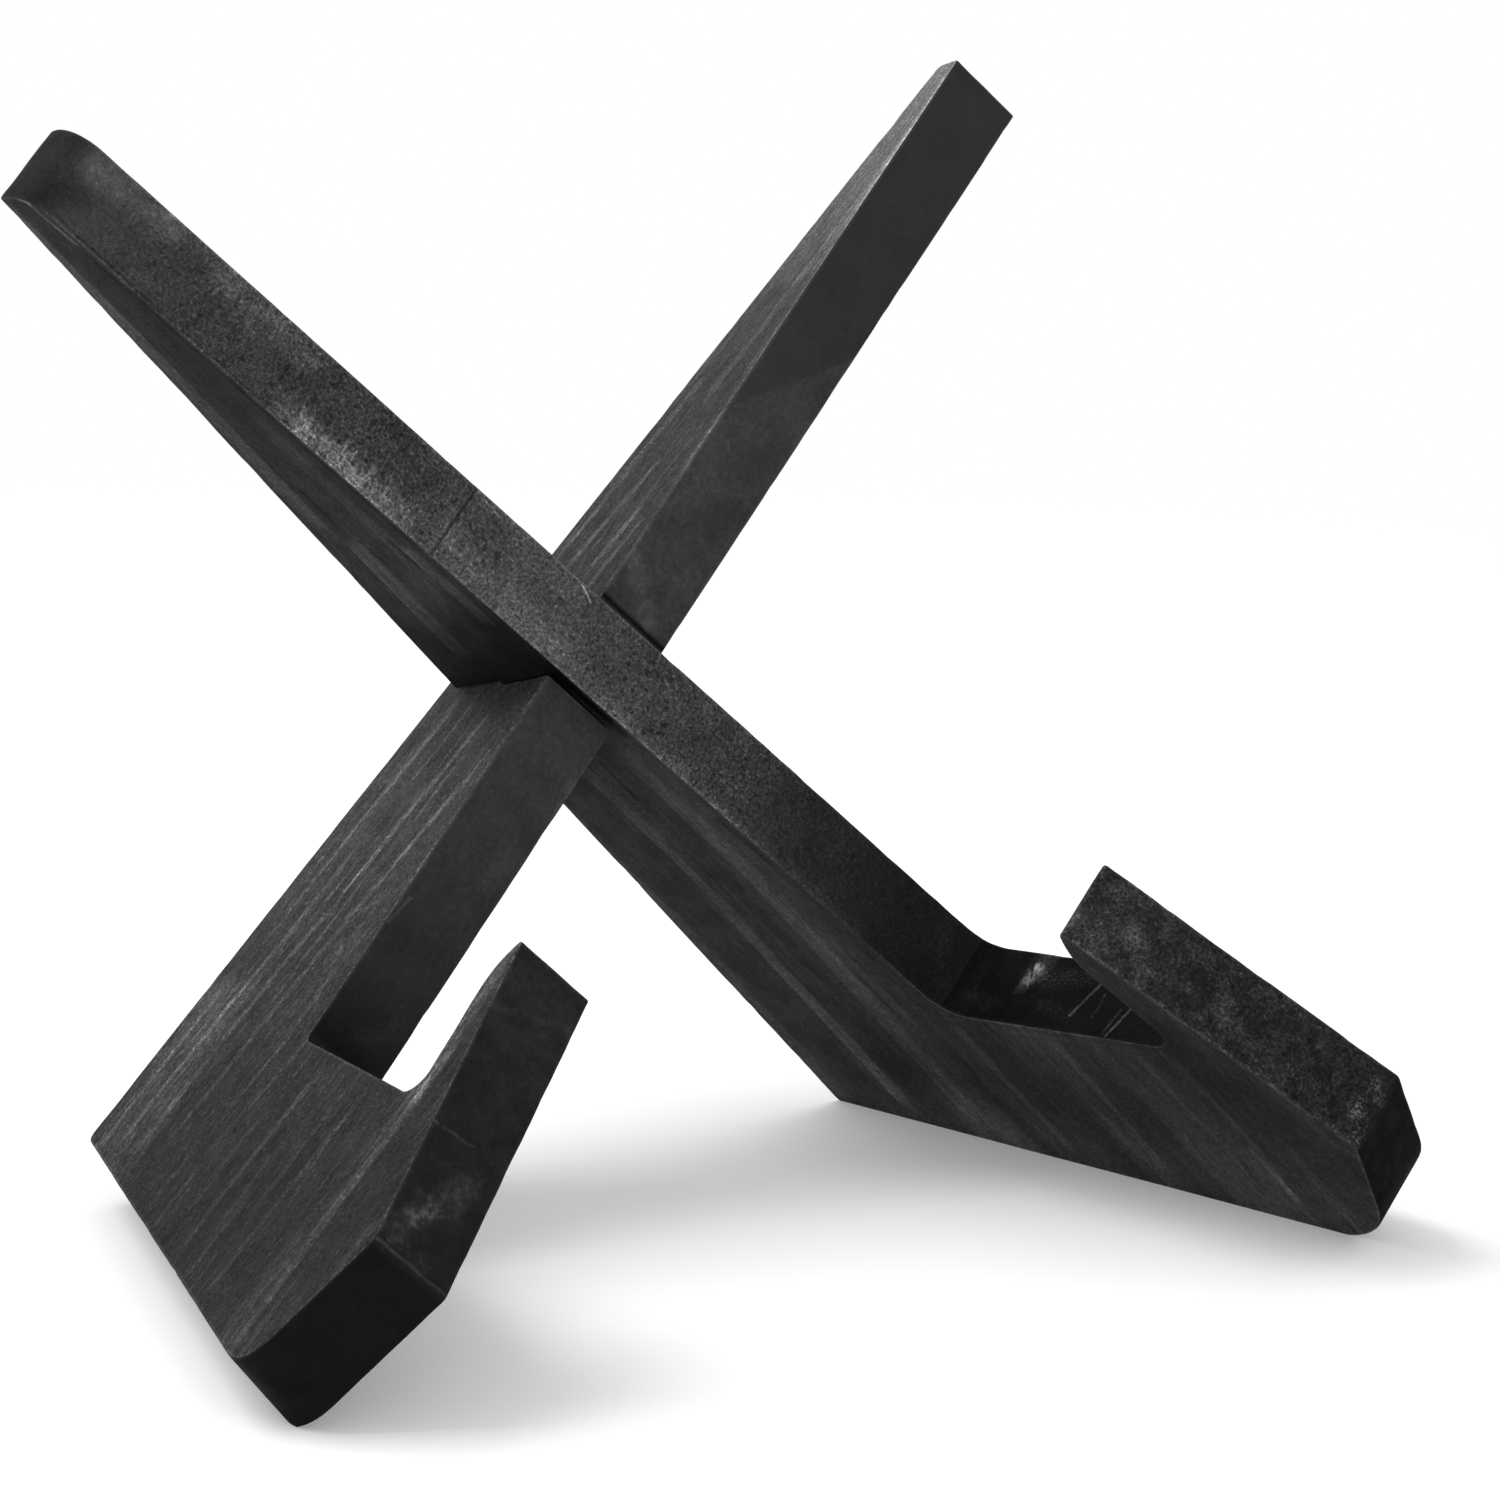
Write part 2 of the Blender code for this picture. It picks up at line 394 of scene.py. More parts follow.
UNSTEADY_HAND = unsteady_hand_group()
GRAIN_STREAK = grain_streak_group()
RUB_AND_PAINTED_LIGHT = rub_and_painted_light_group()
LONG_GRAIN = long_grain_group()
SPECKLE = speckle_group()
WORN_ARRIS = worn_arris_group()
FACET_PAINTED_LIGHT = facet_painted_light_group()


def stained_finish(name, turn, recipe):
    """Black-stained wood for one zone of a board, built up in layers as its recipe says, with painted light
    and shade where the recipe lays them.
    """
    material = bpy.data.materials.new(name)
    material.use_nodes = True
    bench = Bench(material.node_tree)
    shader = material.node_tree.nodes["Principled BSDF"]
    scale = (MILLIMETRE, MILLIMETRE, MILLIMETRE)
    corner = bench.lay("ShaderNodeTexCoord").outputs["Object"]
    centred = {"Vector": corner, "Location": CROSSING, "Rotation": turn, "Scale": scale}
    place = bench.lay("ShaderNodeMapping", centred, vector_type="TEXTURE").outputs["Vector"]
    parts = bench.lay("ShaderNodeSeparateXYZ", {0: place}).outputs
    up, ahead = parts["X"], parts["Y"]

    grain = bench.use(
        LONG_GRAIN, Place=place, Slant=recipe["slant"], Spacing=recipe["spacing"], Wander=recipe["wander"]
    )
    speckle = bench.use(SPECKLE, Place=place, Size=recipe["speck_size"], Clouding=recipe["cloud_size"])
    distance = bench.lay("ShaderNodeAttribute", attribute_name="arris_distance").outputs["Fac"]
    arris = bench.use(
        WORN_ARRIS, Place=place, Distance=distance, Reach=recipe["wear_reach"], Cover=recipe["wear_cover"]
    )
    hand = bench.use(UNSTEADY_HAND, Place=place)
    tone = bench.ramp(up, recipe["along"])
    busy = bench.ramp(up, recipe["busy"])

    for facet in recipe["facets"]:
        stroke = bench.use(
            FACET_PAINTED_LIGHT,
            Place=place,
            Through=facet["through"],
            Toward=facet["toward"],
            Edge=facet["edge"],
            Fade=facet["fade"],
        )
        # painted light: paler past the facet line, as the tilted facet would catch more light
        facet_light = bench.span(stroke["Fading"], 0, 1, 1, 1 + facet["gain"], smooth=False)
        tone = bench.sum("MULTIPLY", tone, facet_light)
        calmer = bench.span(stroke["Begun"], 0, 1, facet["calm"], 1, smooth=False)
        busy = bench.sum("MULTIPLY", busy, calmer)

    def shade(mask, gain):
        """Makes the colour paler, or darker below zero, by a mask: for marks in the stain and for painted
        light and shade.
        """
        nonlocal tone
        tone = bench.sum("MULTIPLY", tone, bench.sum("MULTIPLY_ADD", mask, gain, 1))

    def vary(mask, depth):
        """Makes the stain paler and darker around its tone, as far as this part of the board is busy."""
        nonlocal tone
        centred_mask = bench.sum("MULTIPLY_ADD", mask, 2 * depth, -depth)
        tone = bench.sum("MULTIPLY", tone, bench.sum("MULTIPLY_ADD", centred_mask, busy, 1))

    vary(grain["Fibres"], recipe["fibres"])
    vary(grain["Broad"], recipe["broad"])
    vary(speckle["Mottle"], recipe["mottle"])
    vary(speckle["Curls"], recipe["curls"])
    vary(speckle["Cloud"], recipe["cloud"])
    shade(bench.sum("MULTIPLY", speckle["Flecks"], busy), recipe["flecks"])
    shade(bench.sum("MULTIPLY", speckle["Pits"], busy), recipe["pits"])
    shade(grain["Lines"], recipe["lines"])
    shade(grain["Dashes"], recipe["dashes"])
    for mark in recipe["streaks"]:
        line = bench.ramp(up, mark["path"], curve="LINEAR")
        ends = sorted(place_up for place_up, _ in mark["path"])
        mask = bench.use(
            GRAIN_STREAK,
            Up=up,
            Off=bench.sum("SUBTRACT", ahead, line),
            Sway=hand["Sway"],
            Holes=hand["Holes"],
            Low_end=ends[0],
            High_end=ends[-1],
            Back=mark["back"] * recipe["spread"],
            Front=mark["front"] * recipe["spread"],
            Ragged=mark["ragged"],
            Broken=mark["broken"],
        )
        shade(mask["Mask"], mark["gain"] * (recipe["streaked"] if mark["gain"] > 0 else 1))
    for mark in recipe["rubs_and_painted_light"]:
        drawn = 0.0
        for start, end in zip(mark["path"], mark["path"][1:]):
            piece = bench.use(
                RUB_AND_PAINTED_LIGHT,
                Place=place,
                Stray=hand["Stray"],
                Teeth=hand["Teeth"],
                Holes=hand["Holes"],
                Smooth=hand["Smooth"],
                From=start,
                To=end,
                Width=mark["width"],
                Ragged=mark["ragged"],
                Toothed=mark["toothed"],
                Broken=mark["broken"],
                Grainy=mark["grainy"],
            )
            drawn = bench.sum("MAXIMUM", drawn, piece["Mask"])
        shade(drawn, mark["gain"])
    shade(arris["Worn"], recipe["worn"])

    relief = bench.sum("MULTIPLY", grain["Fibres"], recipe["fibre_relief"])
    relief = bench.sum("MULTIPLY_ADD", grain["Lines"], recipe["line_relief"], relief)
    relief = bench.sum("MULTIPLY_ADD", speckle["Mottle"], recipe["speck_relief"], relief)
    relief = bench.sum("MULTIPLY_ADD", speckle["Pits"], -recipe["speck_relief"], relief)
    bump = bench.lay("ShaderNodeBump", {"Height": relief, "Strength": 1.0, "Distance": MILLIMETRE})
    dull, shiny = recipe["roughness"] + ROUGHNESS_SPREAD, recipe["roughness"] - ROUGHNESS_SPREAD
    roughness = bench.span(speckle["Cloud"], 0, 1, dull, shiny, smooth=False)
    roughness = bench.sum("MULTIPLY_ADD", arris["Worn"], -WORN_POLISH, roughness)

    bench.feed(shader.inputs["Base Color"], bench.arrow("SCALE", recipe["tint"], tone))
    bench.feed(shader.inputs["Roughness"], roughness)
    bench.feed(shader.inputs["Normal"], bump.outputs["Normal"])
    shader.inputs["Specular IOR Level"].default_value = recipe["gloss"]
    return material


def streak(*path, back=0.5, front=0.5, gain=1.0, broken=0.4, ragged=0.5):
    """A streak along the grain, through places given as up the arm and ahead."""
    return {"path": path, "back": back, "front": front, "gain": gain, "broken": broken, "ragged": ragged}


def rub_and_painted_light(path, width=1.0, gain=1.0, broken=0.3, grainy=0.0, ragged=1.5, toothed=0.0):
    """A mark on any face: rubbed, scratched, or painted light and shade. Toothed marks end in fine teeth
    across the edge, grainy ones in specks.
    """
    return {
        "path": path,
        "width": width,
        "gain": gain,
        "broken": broken,
        "grainy": grainy,
        "ragged": ragged,
        "toothed": toothed,
    }


def on_side(*places):
    """A path over the left-hand face, from places given as up the arm and ahead."""
    return [(up, ahead, -HALF_BOARD) for up, ahead in places]


def on_front(*places, proud=0.0):
    """A path over the front edge, from places given as up the arm and out."""
    return [(up, FRONT_TAPER * up + proud, out) for up, out in places]


def on_over_front(*places):
    return on_front(*places, proud=OVER_PROUD)


def on_run(run, *places):
    """A path over a straight run of the outline, from places given as millimetres along it and out."""
    (start_up, start_ahead), (end_up, end_ahead) = run
    length = math.hypot(end_up - start_up, end_ahead - start_ahead)
    slope_up, slope_ahead = (end_up - start_up) / length, (end_ahead - start_ahead) / length
    return [(start_up + slope_up * along, start_ahead + slope_ahead * along, out) for along, out in places]


SIDE_GRAIN = {
    "tint": (1.0, 1.0, 1.0),
    "slant": 0.13,
    "spacing": 6.0,
    "wander": 1.2,
    "speck_size": 0.55,
    "cloud_size": 7.0,
    "wear_reach": 0.35,
    "wear_cover": 0.6,
    "busy": [(-150, 1.0), (140, 0.99)],
    "fibres": 0.42,
    "broad": 0.08,
    "mottle": 0.32,
    "curls": 0.35,
    "cloud": 0.06,
    "flecks": 0.6,
    "pits": -0.25,
    "lines": 0.7,
    "dashes": -0.5,
    "worn": 0.7,
    "streaked": 1.6,
    "spread": 1.0,
    "fibre_relief": 0.02,
    "line_relief": 0.03,
    "speck_relief": 0.015,
    "roughness": 0.62,
    "gloss": 0.08,
    "facets": [],
    "streaks": [],
    "rubs_and_painted_light": [],
}

PLANED_EDGE = dict(
    SIDE_GRAIN,
    slant=0.0,
    spacing=9.0,
    wander=1.0,
    speck_size=0.5,
    fibres=0.03,
    broad=0.03,
    lines=0.0,
    dashes=0.0,
    mottle=0.36,
    curls=0.32,
    cloud=0.16,
    flecks=0.6,
    pits=-0.45,
    fibre_relief=0.0,
    line_relief=0.0,
    speck_relief=0.03,
)

OVER_SIDE = dict(
    SIDE_GRAIN,
    # the tone drops just above the crossing, a painted shadow of the other board, and rises again over the
    # foot, painted light against the shade near the floor
    along=[
        (-150, 0.077), (-132, 0.0616), (-110, 0.0462), (-80, 0.055), (-55, 0.0537), (-25, 0.0564),
        (-8, 0.0443), (8, 0.0067), (19, 0.0111), (30, 0.0407), (70, 0.0394), (126, 0.0382),
    ],
    fibres=0.16,
    broad=0.25,
    mottle=0.2,
    curls=0.2,
    flecks=0.35,
    pits=-0.15,
    lines=0.3,
    streaks=[
        # two pale bands below the crossing, crisp at the back and fading to the front
        streak(
            (-9, -21.4), (-17, -22), (-40, -23.5), (-55, -26), (-70, -29), (-85, -32), (-112, -37),
            back=0.4, front=4.6, ragged=0.55,
        ),
        streak(
            (-7, -7), (-30, -6.8), (-45, -7.6), (-60, -10.4), (-72, -12.6), (-85, -15.4), (-118, -21.4),
            back=0.8, front=6, gain=0.6, broken=0.45, ragged=0.6,
        ),
        # the dark stain behind each band
        streak((-10, -28), (-52, -33), (-75, -37), (-110, -44), back=9, front=6, gain=-0.38, broken=0.1),
        streak((-10, -12), (-40, -13.5), (-75, -19), (-104, -25), back=3.4, front=3.5, gain=-0.2),
        # short dark lines where the grain is open
        streak((-13, -13.4), (-24, -14.8), back=0.6, front=0.6, gain=-0.75, broken=0.3),
        streak((-13, -10.5), (-26, -12.5), back=0.35, front=0.35, gain=-0.6),
        streak((-34, -19.4), (-50, -21.6), gain=-0.65),
        streak((-36, -17), (-54, -19), back=0.4, front=0.4, gain=-0.6),
        streak((-44, -15), (-54, -16.4), back=0.4, front=0.4, gain=-0.5),
        streak((-64, -24), (-82, -27), gain=-0.55),
        streak((-70, -7), (-84, -8.4), gain=-0.55),
        streak((-48, -5), (-60, -6.6), back=0.4, front=0.4, gain=-0.45),
        streak((-30, 2.0), (-44, 3.0), gain=-0.6, broken=0.3),
        streak((-66, 2.6), (-70, 2.6), back=0.6, front=0.6, gain=-0.6, broken=0.3),
        # paler grain along the back and over the foot
        streak((-20, -38), (-60, -43.5), (-100, -50), back=3, front=2.5, gain=0.35, broken=0.8),
        streak((-86, 4.6), (-100, 2), (-112, 0.6), (-124, -1.6), back=0.7, front=2.2, gain=0.38, ragged=1.4),
        streak(
            (-91, 27), (-104, 25), (-112, 22.6), (-122, 20.6), (-131, 18),
            back=0.9, front=2.4, gain=0.45, ragged=1.4,
        ),
        streak((-104, 16), (-120, 15), back=1.2, front=1.4, gain=0.15),
        streak((-98, 46), (-118, 42), back=1.0, front=1.2, gain=0.2, ragged=1.4),
        streak((-99, 55), (-120, 51), back=1.0, front=1.2, gain=0.2, ragged=1.4),
        streak((-123, 49), (-140, 45.4), back=0.9, front=1.4, gain=0.5, broken=0.6, ragged=1.6),
        streak((-121, 60), (-144, 56), back=0.8, front=1.2, gain=0.35, broken=0.6, ragged=1.4),
        streak((-102, 63.5), (-117, 60.5), front=0.6, gain=0.3),
        # upper arm: a pale band crisp at the front, then one crisp at the back
        streak(
            (128, -6), (115, -8), (100, -9.6), (80, -12.6), (60, -15.6), (42, -18),
            back=5, front=0.4, broken=0.35, ragged=0.6,
        ),
        streak((45, -16.6), (30, -19), (13, -20.6), front=6, gain=1.35, broken=0.3, ragged=0.6),
        streak((41, -3.4), (19, -3), front=3.6, gain=1.1, broken=0.3, ragged=0.6),
        streak((76, -5), (44, -4), (26, -6), back=3, front=2.4, gain=0.45),
        streak((118, -1.7), (100, -0.7), (60, 0.6), (30, 1.4), gain=-0.65, ragged=0.4),
        streak((126, -4), (124, -1.8), (113, -0.8), gain=1.6, broken=0.2, ragged=0.3),
        streak((57, -13.8), (47, -14.2), back=0.7, front=0.7, gain=-0.7, broken=0.2),
        streak((44, -12.8), (36, -12.4), back=0.7, front=0.7, gain=-0.65, broken=0.2),
        streak((43, -4.4), (34, -4.2), back=0.6, front=0.6, gain=-0.65, broken=0.2),
        streak((98, -6), (66, -8.6), back=1.6, front=5, gain=-0.3),
    ],
    rubs_and_painted_light=[
        rub_and_painted_light(on_side((-87.4, 7.4), (-99.2, 52)), width=0.5, gain=0.5, broken=0.6, ragged=0.4),
        rub_and_painted_light(on_side((-124, 72), (-128, 74)), width=1.4, gain=0.6),
        # painted shade on the strip that stands proud of the other board, and painted shade over the lower
        # foot
        rub_and_painted_light(on_side((-8, 1.7), (8, 1.7)), width=3.0, gain=-0.96, broken=0, ragged=0.3),
        rub_and_painted_light(on_side((-98, 58), (-138, 70)), width=22, gain=-0.5, broken=0, ragged=4),
        # paler along the sole: painted light against the shade near the floor
        rub_and_painted_light(on_side((-101, -56), (-117, -18)), width=16, gain=1.2, broken=0.1, ragged=4),
        rub_and_painted_light(on_side((-117, -18), (-140, 36)), width=22, gain=0.8, broken=0.1, ragged=4),
    ],
)

UNDER_SIDE = dict(
    SIDE_GRAIN,
    speck_size=0.5,
    # darkest over the foot and climbing to the top end: a painted fall-off of light, with a painted sheen
    # over the top end
    along=[
        (-150, 0.0238), (-120, 0.0165), (-95, 0.0218), (-70, 0.0342), (-40, 0.0488), (-22, 0.05),
        (-9, 0.0415), (10, 0.037), (30, 0.0392), (60, 0.042), (80, 0.052), (87, 0.084),
        (118, 0.137), (133, 0.172),
    ],
    busy=[(-150, 0.8), (-90, 1.0), (-20, 0.9), (40, 0.8), (80, 0.6), (133, 0.6)],
    fibres=0.4,
    mottle=0.4,
    curls=0.4,
    flecks=0.7,
    pits=-0.3,
    lines=0.6,
    streaked=1.25,
    spread=2.0,
    streaks=[
        # pale grain lines below the crossing
        streak((-8, -28), (-22, -31), (-35, -35), (-45, -37), (-55, -39), (-63, -41), back=0.4),
        streak((-10, -21.6), (-22, -24), (-31, -26.4), back=0.4, front=0.4, gain=0.8),
        streak(
            (-40, -29), (-50, -31), (-60, -33), (-70, -36), (-80, -38), (-92, -41), (-106, -43.6),
            front=0.6, gain=1.4, broken=0.3,
        ),
        streak(
            (-13, -12.6), (-25, -15), (-35, -18), (-47, -20.4), (-54, -23),
            front=0.6, gain=1.5, broken=0.25,
        ),
        streak(
            (-54, -22.4), (-65, -26), (-75, -28), (-88, -31), (-107, -34),
            back=0.6, front=0.7, gain=1.3, broken=0.3,
        ),
        streak(
            (-19, -1.6), (-30, -4), (-42, -8), (-55, -12), (-65, -15), (-78, -18), (-92, -21), (-108, -24.6),
            front=0.6, broken=0.35,
        ),
        streak((-70, -43.6), (-84, -47), (-97, -49), (-106, -50.4), front=0.6, gain=1.1),
        streak((-30, -12), (-52, -17.4), (-68, -21), back=0.3, front=0.35, gain=0.5, broken=0.7),
        streak((-26, -20), (-50, -26), (-74, -32.6), back=0.3, front=0.35, gain=0.5, broken=0.8),
        streak((-20, -34.6), (-48, -41.6), back=0.3, front=0.35, gain=0.5, broken=0.7),
        streak((-62, -37), (-86, -43.6), back=0.3, front=0.35, gain=0.6, broken=0.7),
        streak((-34, -6), (-50, -10), back=0.3, front=0.4, gain=0.5, broken=0.7),
        streak((-83, -4.4), (-99, -9.4), back=0.4, front=0.4),
        streak((-84, 3), (-99, -2), back=0.4, front=0.4, gain=1.2),
        streak((-70, -10), (-96, -16.6), back=0.4, front=0.4, gain=0.4, broken=0.7),
        streak((-76, -24), (-104, -30), back=0.35, front=0.4, gain=0.6, broken=0.6),
        streak((-80, -36), (-104, -40), back=0.35, front=0.4, gain=0.7, broken=0.6),
        streak((-68, -52), (-92, -57), front=0.6, gain=0.7, broken=0.7),
        # the rubbed corner at the back of the foot
        streak((-66, -44), (-84, -42), (-116, -42), back=10, front=8, gain=0.9, ragged=5),
        # grain over the foot
        streak((-106, -12), (-118, -14.6), gain=0.9),
        streak((-110, -5.6), (-122, -7.4), gain=1.2),
        streak((-100, 4.4), (-120, 1.2), back=0.6, front=0.7, gain=0.7),
        streak((-89, 16.6), (-102, 13.4), (-115, 10.2), (-128, 8), front=0.6, gain=1.1, broken=0.3),
        streak((-88, 8), (-96, 6), back=0.4, front=0.4, gain=0.6),
        streak((-116, 20.4), (-132, 17), back=0.4),
        streak((-126, 22.4), (-135, 22.4), back=0.4, front=0.4, gain=0.8),
        streak((-94, 29.6), (-108, 27.6), (-121, 25), gain=0.7),
        streak((-97, 36.6), (-111, 33.4), (-122, 31), (-136, 28.4), front=0.6, gain=1.1),
        streak((-105, 35), (-120, 36.4), back=0.3, front=0.3, gain=0.6),
        streak(
            (-84, 57.6), (-100, 56), (-112, 54.4), (-125, 52.6), (-149, 50),
            back=0.9, front=0.8, gain=0.8, broken=0.2,
        ),
        streak((-90, 56), (-120, 52), (-152, 47), back=4, front=1.6, gain=0.5),
        # upper arm
        streak((86, -7), (75, -8.6), (54, -12.4), back=0.9, front=1.0, gain=0.55),
        streak((63, -18.6), (50, -22), (42, -24), (22, -28), back=0.8, front=0.8, gain=0.8),
        streak((43, -14), (33, -17), (25, -20), (17, -22), back=0.6, front=0.7, gain=1.5, broken=0.3),
        streak((31, -8.6), (17, -12), back=0.6, front=0.7, gain=1.2, broken=0.2),
        streak((28, -4.6), (10, -8.4), back=0.6, front=0.6, broken=0.25),
        streak((52, -1.6), (38, -1.8), front=0.4, gain=0.8),
        streak((34, -25.4), (20, -28.4), gain=0.6),
        streak((137, -4.4), (90, -3.6), (50, -2.4), (24, -1.6), back=0.7, front=0.6, gain=0.35),
    ],
    rubs_and_painted_light=[
        # fine scratches across the grain
        rub_and_painted_light(on_side((-56.4, -25), (-58.4, -16), (-55.6, -6)), width=0.4, gain=1.8, ragged=3),
        rub_and_painted_light(on_side((-57.4, -24), (-60.4, -17)), width=0.35, gain=1.4, ragged=3),
        rub_and_painted_light(on_side((-50, -13), (-54, -7)), width=0.35, gain=1.2, ragged=3),
        rub_and_painted_light(on_side((-63.4, -10.5), (-65.4, -8)), width=1.3, gain=1.2, broken=0.6),
        rub_and_painted_light(on_side((-75, -4), (-78, -2)), width=1.2, broken=0.6),
        rub_and_painted_light(on_side((-84.6, 4), (-93.4, 38)), width=0.5, gain=1.2, broken=0.4, ragged=0.4),
        rub_and_painted_light(on_side((-66, 53.6), (-98, 55)), width=4.0, gain=2.2, broken=0.15, ragged=0.8),
        rub_and_painted_light(on_side((-124, 69), (-131, 68)), width=2.6, gain=1.4, broken=0.5),
        rub_and_painted_light(on_side((84, -14), (82, -9), (85, -4)), width=1.6, gain=0.35, broken=0.5, ragged=4),
        # painted shadow of the other board, in the corner beside the crossing
        rub_and_painted_light(on_side((-3, -28), (-14, -1)), width=9, gain=-0.2, broken=0, ragged=1),
    ],
)

OVER_EDGE = dict(
    PLANED_EDGE,
    tint=(1.0, 0.995, 0.985),
    # the tone drops over the rounded top end: painted shade
    along=[
        (-150, 0.006), (-84, 0.006), (-66, 0.0105), (-46, 0.022), (-28, 0.048), (-10, 0.062),
        (20, 0.082), (60, 0.052), (105, 0.049), (119.6, 0.05), (124.4, 0.016), (126.8, 0.009),
    ],
    busy=[(-90, 0.7), (-48, 0.8), (-25, 1.2), (20, 1.0), (60, 1.2), (90, 1.0), (120, 0.45)],
    worn=0.5,
    rubs_and_painted_light=[
        # pale comb-like patches, first beside the left corner, then beside the right one
        rub_and_painted_light(on_over_front((70, -6), (45, -7)), width=5.2, gain=1.6, toothed=7, ragged=4),
        rub_and_painted_light(on_over_front((66, -5.5), (54, -5)), width=3.4, gain=1.3, toothed=9, ragged=4, broken=0.4),
        rub_and_painted_light(on_over_front((90, 6.2), (73, 4.6)), width=5.4, gain=1.1, toothed=9, ragged=4, broken=0.45),
        rub_and_painted_light(on_over_front((104, 6.4), (90, 6.6)), width=3.6, gain=0.7, toothed=8, ragged=4, broken=0.5),
        rub_and_painted_light(on_over_front((119, 4.4), (104, 5.4)), width=4.8, toothed=5, ragged=5, broken=0.45),
        rub_and_painted_light(on_over_front((35.6, -3), (28, -5)), width=4.4, ragged=4, broken=0.5, grainy=0.4),
        rub_and_painted_light(on_over_front((22, -4), (6, -4.6)), width=4.6, gain=0.9, ragged=4, broken=0.5, grainy=0.4),
        # painted shade over the rounded top end, and the fine dark line beside the left corner
        rub_and_painted_light(on_over_front((125, -6.4), (120, -2)), width=5.5, gain=-0.5, broken=0, ragged=3),
        rub_and_painted_light(on_over_front((119, -6.6), (97, -6.9)), width=0.4, gain=-0.7, broken=0.5, ragged=0.8),
        rub_and_painted_light(on_over_front((92, -6.8), (60, -7)), width=0.35, gain=-0.6, broken=0.6, ragged=0.8),
        # single nicks, scratches and dusty patches, and the shade in the knife line
        rub_and_painted_light(on_over_front((126.8, -7), (123.6, -7.3)), width=0.8, gain=3, broken=0.2, ragged=0.6),
        rub_and_painted_light(on_over_front((12.4, 6.8), (9.4, 5.6)), width=0.26, gain=4.5, broken=0, ragged=0.4),
        rub_and_painted_light(on_over_front((35, 6.6), (30, 6.0)), width=0.22, gain=1.8, broken=0.4, ragged=0.6),
        rub_and_painted_light(on_over_front((-2, -7.5), (-62, -7.5)), width=3.4, gain=0.9, ragged=3),
        rub_and_painted_light(on_over_front((-18, 5.5), (-26, 6.5)), width=2.6, gain=0.5, broken=0.4, grainy=0.6, ragged=4),
        rub_and_painted_light(on_over_front((-76, 5), (-80, -4)), width=3, gain=1.6, grainy=0.9),
        rub_and_painted_light(on_over_front((36.9, -7.5), (36.9, 7.5)), width=0.42, gain=-0.6, broken=0, ragged=0.3),
    ],
)

UNDER_EDGE = dict(
    PLANED_EDGE,
    along=[
        (-150, 0.0094), (-82, 0.008), (-65, 0.0208), (-35, 0.0328), (-10, 0.0363), (6, 0.0292),
        (20, 0.0398), (50, 0.0339), (80, 0.0269), (133, 0.0281),
    ],
    busy=[(-150, 0.6), (-40, 0.8), (20, 1.1), (60, 1.0), (133, 0.9)],
    speck_size=0.8,
    mottle=0.13,
    curls=0.06,
    cloud=0.14,
    flecks=0.2,
    pits=-0.1,
    worn=0.45,
    # a facet on the lower part of the edge, not modelled: paler there as painted light, and more mottled
    facets=[
        {
            "through": (FACET_UP, FRONT_TAPER * FACET_UP, 0),
            "toward": (-0.514, 0, 0.857),
            "edge": 0.7,
            "fade": 22,
            "gain": 0.32,
            "calm": 0.4,
        }
    ],
    rubs_and_painted_light=[
        rub_and_painted_light(on_front((19, -6.5), (11, 2.5)), width=3.2, gain=1.2, broken=0.5, ragged=3, grainy=0.4),
        rub_and_painted_light(on_front((-20, 7), (-27, 7)), width=2.2, gain=0.8, broken=0.5, grainy=0.7),
        rub_and_painted_light(on_front((-36, 4), (-44, 4)), width=3.4, gain=0.6, broken=0.6, grainy=0.5),
        rub_and_painted_light(on_front((-73, 5), (-79, 0)), width=2.8, gain=0.9, broken=0.8, grainy=0.4, ragged=6),
        rub_and_painted_light(on_front((-83, -7), (-83, 3)), width=6, gain=-0.5, broken=0, ragged=3),
        rub_and_painted_light(on_front((-54, -6), (-60, -6.8)), width=0.5, gain=1.4, broken=0.4),
        # painted shadow of the other board's proud edge, beside the joint
        rub_and_painted_light(on_front((9.7, 9), (9.7, -9)), gain=-1.0, broken=0, ragged=0.3),
    ],
)

OVER_HOOK = dict(
    PLANED_EDGE,
    # nearly black on the toe, below -127 up the arm: painted shade on the chamfer that faces the floor
    along=[(-155, 0.0012), (-127, 0.0012), (-123.5, 0.020), (-100, 0.024), (-67, 0.040), (140, 0.04)],
    busy=[(-155, 0.15), (-127, 0.15), (-123.5, 1.0), (140, 0.99)],
    speck_size=0.5,
    mottle=0.4,
    curls=0.35,
    cloud=0.4,
    cloud_size=3.6,
    pits=-0.35,
    flecks=0.9,
    worn=0.6,
    gloss=0.04,
    rubs_and_painted_light=[
        rub_and_painted_light(on_run(OVER_HOOK_FRONT, (11, -0.5), (15, -3)), width=3, gain=1.1, broken=0.6, ragged=4),
        rub_and_painted_light(on_run(OVER_HOOK_FRONT, (30, -1), (35, -5)), width=3.4, gain=0.8, broken=0.6, ragged=4),
        rub_and_painted_light(on_run(OVER_HOOK_FRONT, (35, 6), (39, 7)), width=2.4, gain=0.6, broken=0.6, ragged=4),
        rub_and_painted_light(on_run(OVER_HOOK_FRONT, (4, -7.5), (58, -7.5)), width=1.4, gain=0.7, broken=0.6, ragged=1),
        rub_and_painted_light(on_run(OVER_HOOK_FRONT, (57.6, 3.5), (60, 1.6)), width=2.0, gain=5, broken=0.2, grainy=0.95),
        rub_and_painted_light(on_run(OVER_HOOK_FRONT, (57.4, -1.5), (60, -6)), width=2.8, gain=6, broken=0.2, grainy=0.95),
        rub_and_painted_light(on_run(OVER_HOOK_FRONT, (47, 3.6), (49, 3)), width=0.9, gain=1.6, broken=0.5, grainy=0.6),
        rub_and_painted_light(on_run(OVER_HOOK_FRONT, (51.2, 1.2), (52, -1)), width=0.4, gain=1.6, broken=0.4, ragged=2),
    ],
)

